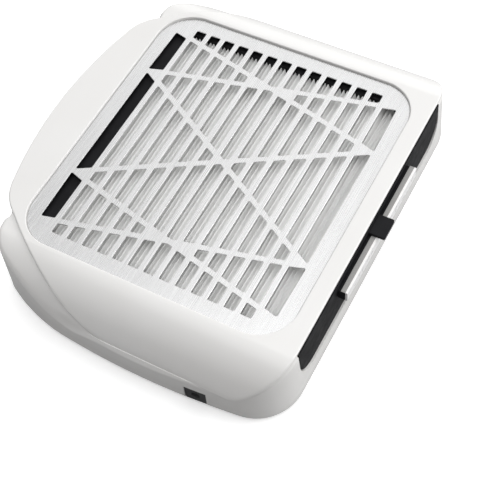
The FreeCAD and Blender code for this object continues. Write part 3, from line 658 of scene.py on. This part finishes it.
def extruded(points, direction):
    """Closed prism mesh data from flat points in millimetres and a direction."""
    bm = bmesh.new()
    face = bm.faces.new([bm.verts.new(Vector(p) * MM) for p in points])
    moved = bmesh.ops.extrude_face_region(bm, geom=[face])
    verts = [g for g in moved["geom"] if isinstance(g, bmesh.types.BMVert)]
    bmesh.ops.translate(bm, vec=Vector(direction) * MM, verts=verts)
    bmesh.ops.recalc_face_normals(bm, faces=bm.faces[:])
    mesh = bpy.data.meshes.new("prism")
    bm.to_mesh(mesh)
    bm.free()
    return mesh


def block(x0, x1, y0, y1, z0, z1):
    return extruded([(x0, y0, z0), (x1, y0, z0), (x1, y1, z0), (x0, y1, z0)], (0, 0, z1 - z0))


def rod(r, x, y, z0, z1, sides=40):
    points = [(x + r * math.cos(2 * math.pi * i / sides), y + r * math.sin(2 * math.pi * i / sides), z0)
              for i in range(sides)]
    return extruded(points, (0, 0, z1 - z0))


def on_side(mesh, side):
    """Carry a mesh drawn at a wall whose outside is x = 0 (+X outwards) to one side of the shell."""
    place = Matrix.Translation(Vector((SIDE_X, PORT_Y, 0)) * MM)
    mesh.transform(place @ Matrix.Rotation(-SIDE_TILT, 4, "Z"))
    if side < 0:
        mesh.transform(Matrix.Scale(-1, 4, (1, 0, 0)))
        mesh.flip_normals()
    return mesh


def boolean(mesh, tools, operation="DIFFERENCE"):
    """The mesh with other meshes cut from it or joined to it."""
    body = bpy.data.objects.new("body", mesh)
    bpy.context.scene.collection.objects.link(body)
    group = bpy.data.collections.new("tools")
    bpy.context.scene.collection.children.link(group)
    for tool in tools:
        group.objects.link(bpy.data.objects.new("tool", tool))
    cut = body.modifiers.new("cut", "BOOLEAN")
    cut.operation = operation
    cut.operand_type = "COLLECTION"
    cut.collection = group
    cut.solver = "EXACT"
    graph = bpy.context.evaluated_depsgraph_get()
    made = bpy.data.meshes.new_from_object(body.evaluated_get(graph))
    for tool in list(group.objects):
        bpy.data.objects.remove(tool)
    bpy.data.collections.remove(group)
    bpy.data.objects.remove(body)
    return made


# ---------------------------------------------------------------- shells
EDGE_STEPS = 6
RIM_R, LIP_R = 1.1, 0.7     # round outer rim, round rim of the recess
TOP_STEPS, UNDER_STEPS, WALL_STEPS, LEDGE_STEPS = 34, 24, 8, 8
BRIM_DEPTH = 6.0            # the edge of the skin hangs this much lower where it overhangs the wall
BRIM_START, BRIM_BLEND = 2.0, 5.0
RECESS_WALL = 2.6
FOOT_R = 2.5
FLOOR_INSETS = (20.0, FOOT_R + 3.0)
INNER_WALL_Z = 22.0         # height at which the wall's inner face is taken
WIDE_SHOULDER = 3.2         # edge radius where the ledge is wide
WIDE_GAP, GAP_BLEND = 4.0, 4.0
STEEPNESS = 1.9             # of the shoulder where the ledge is narrow

POST_ROOT = FOOT_H + 1
DECK_POST_R, BOARD_POST_R = 4.0, 2.8
MOUTH_CUT = (-126, 15)      # front of the cut and its length
SCREW_SINK = (3.1, FOOT_H - 2, 6.0)     # radius, bottom and top of the holes for the screws
SIDE_REACH = 6              # how far the tools that cut the side walls stand out of them
# Holes in the side walls: depth, half width, bottom, top
JACK_HOLE = (14.2, 7.9, FOOT_H - 1, 18.2)
SWITCH_HOLE = (14, 9.4, 6.6, 19.4)
SWITCH_REBATE = (1.2, 10.6, 5.4, 20.6)
# Exhaust slits in the back wall
SLITS, SLIT_PITCH, SLIT_W = 9, 6, 3.4
SLIT_X = FAN_X + 32
SLIT_Y, SLIT_Z = (112, 124), (8.5, 20.0)


def edge_insets(r):
    """Distances from an edge at which a rounded edge of this radius gets its rings."""
    return [r * (1 - math.cos(math.pi / 2 * k / EDGE_STEPS)) for k in range(EDGE_STEPS + 1)]


def upper_shell():
    """Skin with a rounded rim, the deep brim over the back wall and the recess for the sheet."""
    lower = LOWER.ring(DRAFT)
    outer = UPPER.ring()
    depth = []
    for (p, _), (q, _) in zip(outer, lower):
        gap = p.length - q.length
        depth.append(SKIN - 0.2 + BRIM_DEPTH * smoothstep((gap - BRIM_START) / BRIM_BLEND))
    rings = []
    bottom = [(p.x, p.y, roof(p.x) - d) for (p, _), d in zip(outer, depth)]
    rings.append(bottom)
    rings.append([(p.x, p.y, max(roof(p.x) - RIM_R, z)) for (p, _), (_, _, z) in zip(outer, bottom)])
    for d in edge_insets(RIM_R)[1:]:
        rings.append([(p.x, p.y, roof(p.x) - rounding(d, RIM_R)) for p, _ in UPPER.ring(d)])
    start, end = UPPER.ring(RIM_R), RECESS.ring(-LIP_R)
    for k in range(1, TOP_STEPS):
        t = k / TOP_STEPS
        ring = [p.lerp(q, t) for (p, _), (q, _) in zip(start, end)]
        rings.append([(p.x, p.y, roof(p.x)) for p in ring])
    for d in reversed(edge_insets(LIP_R)):
        rings.append([(p.x, p.y, roof(p.x) - rounding(d, LIP_R)) for p, _ in RECESS.ring(-d)])
    shelf = TOP - GRILLE_SINK - GRILLE_T
    shelf_in = SHELF + GRILLE_GAP
    for inset, z in ((0.0, shelf), (shelf_in, shelf), (shelf_in, shelf - SHELF_T),
                     (-RECESS_WALL, shelf - SHELF_T)):
        rings.append([(p.x, p.y, z) for p, _ in RECESS.ring(inset)])
    start, end = RECESS.ring(-RECESS_WALL), UPPER.ring(WALL)
    for k in range(UNDER_STEPS + 1):
        t = k / UNDER_STEPS
        ring = [p.lerp(q, t) for (p, _), (q, _) in zip(start, end)]
        rings.append([(p.x, p.y, roof(p.x, SKIN)) for p in ring])
    inner = UPPER.ring(WALL - 0.3)
    rings.append([(p.x, p.y, min(z, roof(p.x, SKIN))) for (p, _), (_, _, z) in zip(inner, bottom)])
    columns = [boss_column(*at) for at in BOSSES]
    mesh = boolean(loft("upper_shell", rings, closed_loop=True), columns, "UNION")
    mark_sharp(mesh, 40)
    piece = add_object("upper_housing", mesh, "housing", "shell")
    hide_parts("upper_shell")


def boss_column(x, y):
    """Screw column that ends inside the skin."""
    mesh = rod(BOSS_R, x, y, BOSS_SPLIT, TOP)
    for vertex in mesh.vertices:
        if vertex.co.z > (TOP - 1) * MM:
            vertex.co.z = (roof(vertex.co.x / MM) - SKIN / 2) * MM
    return mesh


def shoulder_shape(gap):
    """Width, height and roundness of the shoulder where the wall stands this far outside the rim:
    a steep slope that goes on from the flank on a narrow ledge, a round edge on a wide one."""
    wide = smoothstep((gap - WIDE_GAP) / GAP_BLEND)
    round_size = WIDE_SHOULDER * wide
    slope = min(WIDE_SHOULDER, max(0.5, gap)) * (1 - wide)
    return round_size + slope, round_size + STEEPNESS * slope, wide


def lower_shell():
    """Tub with rounded foot and shoulder, and a ledge under the upper shell."""
    rings = []
    for inset in (*FLOOR_INSETS, *reversed(edge_insets(FOOT_R))):
        rings.append([(p.x, p.y, FOOT_H + rounding(inset, FOOT_R)) for p, _ in LOWER.ring(inset)])
    top_ring = LOWER.ring(DRAFT * 0.55)
    upper = UPPER.ring()
    shoulder = [shoulder_shape(p.length - q.length) for (p, _), (q, _) in zip(top_ring, upper)]
    for k in range(1, WALL_STEPS + 1):
        ring = []
        for i in range(AROUND):
            z_top = ledge(top_ring[i][0].x) - shoulder[i][1]
            z = FOOT_H + FOOT_R + (z_top - FOOT_H - FOOT_R) * k / WALL_STEPS
            p, _ = lean(i, z)
            ring.append((p.x, p.y, z))
        rings.append(ring)
    for step in range(1, EDGE_STEPS + 1):
        ring = []
        share = 1 - math.cos(math.pi / 2 * step / EDGE_STEPS)
        for i in range(AROUND):
            across, down, round_share = shoulder[i]
            p, n = lean(i, ledge(top_ring[i][0].x) - down)
            p = p - n * (across * share)
            fall = (1 - share) * (1 - round_share) + rounding(share, 1.0) * round_share
            ring.append((p.x, p.y, ledge(p.x) - down * fall))
        rings.append(ring)
    hole = [min((a, b), key=lambda v: v[0].length)[0]
            for a, b in zip(UPPER.ring(LAP), LOWER.ring(LAP + 1.5))]
    shoulder_ring = [Vector(p[:2]) for p in rings[-1]]
    for k in range(1, LEDGE_STEPS + 1):
        ring = [p.lerp(q, k / LEDGE_STEPS) for p, q in zip(shoulder_ring, hole)]
        rings.append([(p.x, p.y, ledge(p.x)) for p in ring])
    rings.append([(p.x, p.y, roof(p.x, SKIN) - WALL) for p in hole])
    inner_wall = []
    for i in range(AROUND):
        p, n = lean(i, INNER_WALL_Z)
        inner_wall.append(p - n * WALL)
    rings.append([(p.x, p.y, min(roof(p.x, SKIN) - WALL, roof(q.x, SKIN) - WALL))
                  for p, q in zip(inner_wall, hole)])
    rings.append([(p.x, p.y, FOOT_H + WALL) for p in inner_wall])
    mesh = boolean(loft("lower_shell", rings, closed_loop=False), lower_posts(), "UNION")
    mesh = boolean(mesh, lower_cuts())
    mark_sharp(mesh, 35)
    piece = add_object("lower_housing", mesh, "housing", "shell")
    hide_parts("lower_shell")


def lean(i, z):
    """Point i of the drafted wall at height z, and its outward normal."""
    low, high = LOWER.ring(0.0)[i], LOWER.ring(DRAFT)[i]
    t = (z - FOOT_H) / (TOP - FOOT_H)
    return low[0].lerp(high[0], t), low[1].lerp(high[1], t).normalized()


def mouth_points(y):
    """Cassette mouth with round lower corners, open upwards."""
    high = TOP + 20
    corners = [(MOUTH_HALF, MOUTH_Z, MOUTH_R), (MOUTH_HALF, high, 1),
               (-MOUTH_HALF, high, 1), (-MOUTH_HALF, MOUTH_Z, MOUTH_R)]
    return [(p.x, y, p.y) for p, _ in arc_points(corners, 1.0)]


def lower_posts():
    """Screw columns, and the posts under the deck and the control board."""
    posts = [rod(BOSS_R, x, y, POST_ROOT, BOSS_SPLIT) for x, y in BOSSES]
    posts += [rod(DECK_POST_R, x, y, POST_ROOT, DECK_LOW) for x, y in DECK_POSTS]
    return posts + [rod(BOARD_POST_R, x, y, POST_ROOT, BOARD_LOW) for x, y in BOARD_POSTS]


def side_hole(depth, half, z0, z1, side):
    return on_side(block(-depth, SIDE_REACH, -half, half, z0, z1), side)


def lower_cuts():
    """Cassette mouth, screw holes, holes for the inlet and the switch, exhaust slits."""
    front, length = MOUTH_CUT
    cuts = [extruded(mouth_points(front), (0, length, 0))]
    radius, z0, z1 = SCREW_SINK
    cuts += [rod(radius, x, y, z0, z1) for x, y in BOSSES]
    cuts += [side_hole(*JACK_HOLE, -1), side_hole(*SWITCH_HOLE, 1), side_hole(*SWITCH_REBATE, 1)]
    for i in range(SLITS):
        x = SLIT_X + i * SLIT_PITCH
        cuts.append(block(x, x + SLIT_W, *SLIT_Y, *SLIT_Z))
    return cuts


# ---------------------------------------------------------------- steel sheet
SHEET_EDGE = 0.18           # size of the broken edges of the stamped sheet


def clip(polygon, point, normal):
    """The part of a convex polygon on the side of a line that the normal points to."""
    kept = []
    for a, b in zip(polygon, polygon[1:] + polygon[:1]):
        da, db = (a - point).dot(normal), (b - point).dot(normal)
        if da >= 0:
            kept.append(a)
        if da * db < 0:
            kept.append(a.lerp(b, da / (da - db)))
    return kept


def area(polygon):
    return sum(a.x * b.y - a.y * b.x for a, b in zip(polygon, polygon[1:] + polygon[:1])) / 2


def slots():
    """Convex slot outlines: columns along X divided by diagonal ribs."""
    columns = []
    for i in range(INNER_COLUMNS):
        y = GRILLE_CY + (i - INNER_COLUMNS // 2) * SLOT_PITCH
        columns.append((y - SLOT_W / 2, y + SLOT_W / 2, SLOT_HALF))
    near, far, half = EDGE_COLUMN
    columns += [(GRILLE_CY + near, GRILLE_CY + far, half), (GRILLE_CY - far, GRILLE_CY - near, half)]
    ends = [(-RIB_CROSS, RIB_CROSS), (RIB_CROSS, -RIB_CROSS)]
    for side in (-1, 1):
        ends += [(side * RIB_CROSS, side * RIB_END), (side * RIB_END, side * RIB_CROSS)]
    found = []
    for y0, y1, half in columns:
        pieces = [[Vector((-half, y0)), Vector((half, y0)), Vector((half, y1)), Vector((-half, y1))]]
        for x_back, x_front in ends:
            back, front = Vector((x_back, GRILLE_CY + RIB_REACH)), Vector((x_front, GRILLE_CY - RIB_REACH))
            along = (front - back).normalized()
            across = Vector((-along.y, along.x))
            split = []
            for piece in pieces:
                for side in (-1, 1):
                    part = clip(piece, back + across * (side * RIB_W / 2), across * side)
                    if len(part) > 2 and abs(area(part)) > LEAST_SLOT:
                        split.append(part)
            pieces = split
        found += pieces
    return found


def softened(polygon, radius):
    """Polygon with its corners rounded by at most this radius."""
    points = []
    count = len(polygon)
    for i, here in enumerate(polygon):
        before, after = polygon[i - 1] - here, polygon[(i + 1) % count] - here
        if before.length < 0.05 or after.length < 0.05:
            continue
        half = before.angle(after) / 2
        r = min(radius, 0.45 * min(before.length, after.length) * math.tan(half))
        a, b = before.normalized(), after.normalized()
        centre = here + (a + b).normalized() * (r / math.sin(half))
        start = here + a * (r / math.tan(half)) - centre
        end = here + b * (r / math.tan(half)) - centre
        for k in range(5):
            points.append(centre + start.slerp(end, k / 4) if r > 0.01 else here)
    return points


def add_loop(curve, points):
    spline = curve.splines.new("POLY")
    spline.points.add(len(points) - 1)
    for point, at in zip(spline.points, points):
        point.co = (at[0] * MM, at[1] * MM, 0, 1)
    spline.use_cyclic_u = True


def grille_sheet():
    """Stamped sheet: rounded slots, with the edges broken on both faces."""
    curve = bpy.data.curves.new("sheet", "CURVE")
    curve.dimensions = "2D"
    curve.fill_mode = "BOTH"
    curve.extrude = (GRILLE_T / 2 - SHEET_EDGE) * MM
    curve.bevel_depth = SHEET_EDGE * MM
    curve.bevel_resolution = 1
    curve.offset = -SHEET_EDGE * MM
    outline = arc_points(rounded_rectangle(GRILLE_X / 2, GRILLE_Y / 2, GRILLE_R, GRILLE_CY), 1.0)
    add_loop(curve, [p for p, _ in outline])
    for polygon in slots():
        add_loop(curve, softened(polygon, SLOT_CORNER))
    holder = bpy.data.objects.new("sheet", curve)
    bpy.context.scene.collection.objects.link(holder)
    graph = bpy.context.evaluated_depsgraph_get()
    mesh = bpy.data.meshes.new_from_object(holder.evaluated_get(graph))
    bpy.data.objects.remove(holder)
    mesh.transform(Matrix.Translation((0, 0, (TOP - GRILLE_SINK - GRILLE_T / 2) * MM)))
    mark_sharp(mesh, 50)
    piece = add_object("hand_rest_sheet", mesh, "housing", "sheet")
    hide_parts("grille_plate")


# ---------------------------------------------------------------- paper
PAPER_T = 0.3
PAPER_COLUMNS = 60          # pieces along each fold
# How far the paper stays inside its block: ends, front and back, bottom, top
CLEAR_X, CLEAR_Y, CLEAR_LOW, CLEAR_HIGH = 0.4, 0.5, 0.4, 0.6
SWAY, SWAY_LENGTH = 0.7, 45
LIFT, LIFT_LENGTH = 0.5, 30
# One pleat: share of the pitch and share of the height
PLEAT_PROFILE = [(0.0, 0.0), (0.1, 0.04), (0.38, 0.86), (0.44, 0.965), (0.5, 1.0), (0.56, 0.965),
                 (0.62, 0.86), (0.9, 0.04)]


def pleated_paper():
    """Folded paper whose crests wander a little along their length."""
    y0, y1 = MEDIA_Y[0] + CLEAR_Y, MEDIA_Y[1] - CLEAR_Y
    z0, z1 = PLEAT_Z[0] + CLEAR_LOW, PLEAT_Z[1] - CLEAR_HIGH
    half = MEDIA_HALF - CLEAR_X
    pitch = (y1 - y0) / PLEATS
    rows = [(i, u, v) for i in range(PLEATS) for u, v in PLEAT_PROFILE] + [(PLEATS, 0.0, 0.0)]
    verts, faces = [], []
    for i, u, v in rows:
        for k in range(PAPER_COLUMNS + 1):
            x = -half + 2 * half * k / PAPER_COLUMNS
            sway = noise.noise(Vector((x / SWAY_LENGTH, i * 0.83, 1.7))) * SWAY * v
            lift = noise.noise(Vector((x / LIFT_LENGTH, i * 1.31, 7.3))) * LIFT * v
            y = y0 + (i + u) * pitch + sway
            verts.append((x * MM, y * MM, (z0 + (z1 - z0) * v + lift) * MM))
    for j in range(len(rows) - 1):
        for k in range(PAPER_COLUMNS):
            a = j * (PAPER_COLUMNS + 1) + k
            b = a + PAPER_COLUMNS + 1
            faces.append((a, a + 1, b + 1, b))
    mesh = bpy.data.meshes.new("paper")
    mesh.from_pydata(verts, [], faces)
    holder = bpy.data.objects.new("paper", mesh)
    bpy.context.scene.collection.objects.link(holder)
    solid = holder.modifiers.new("thick", "SOLIDIFY")
    solid.thickness = PAPER_T * MM
    solid.offset = 0.0
    graph = bpy.context.evaluated_depsgraph_get()
    made = bpy.data.meshes.new_from_object(holder.evaluated_get(graph))
    bpy.data.objects.remove(holder)
    mark_sharp(made, 60)
    piece = add_object("pleated_filter", made, "filter_cassette", "paper")
    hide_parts("pleated_media")


# ---------------------------------------------------------------- CAD nodes that stay
WELD_DISTANCE = 0.01
FLAT_ANGLE, EDGE_ANGLE = math.radians(1), math.radians(40)
EDGE_SEGMENTS = 3
# Radius of the rounded edges
ROUNDED = {"filter_frame": 0.5, "pull_lip": 0.4, "lip_pad": 0.25, "pull_tab": 0.6,
           "dc_jack_body": 0.3, "switch_body": 0.3, "power_rocker": 0.5, "rubber_feet": 0.6,
           "filter_deck": 0.3, "filter_rail_left": 0.3, "filter_rail_right": 0.3, "rear_stop": 0.3}


def finish_nodes():
    """Material for every CAD node, and rounded edges for those that show."""
    for name, kind in NODE_MATERIALS.items():
        node = frame["nodes"][name]
        node.data.materials.clear()
        node.data.materials.append(MATERIALS[kind])
        weld = node.modifiers.new("weld", "WELD")
        weld.merge_threshold = WELD_DISTANCE * MM
        radius = ROUNDED.get(name, 0.0)
        if radius:
            flat = node.modifiers.new("flat", "DECIMATE")
            flat.decimate_type = "DISSOLVE"
            flat.angle_limit = FLAT_ANGLE
            bevel = node.modifiers.new("round", "BEVEL")
            bevel.width = radius * MM
            bevel.segments = EDGE_SEGMENTS
            bevel.limit_method = "ANGLE"
            bevel.angle_limit = EDGE_ANGLE
            bevel.harden_normals = False
            node.modifiers.new("normals", "WEIGHTED_NORMAL").keep_sharp = True


# ---------------------------------------------------------------- build
def main():
    make_camera()
    make_world()
    make_floor("floor", FLOOR_TONES, 0.0, seen=True, glow=FLOOR_GLOW)
    make_floor("table", TABLE_TONES, -MM, seen=False)
    make_backdrop()
    area_light("key", KEY_PLACE, KEY_TARGET, KEY_SIZE, KEY_POWER)
    finish_nodes()
    upper_shell()
    lower_shell()
    grille_sheet()
    pleated_paper()
    bpy.context.scene.view_settings.view_transform = "Standard"


main()
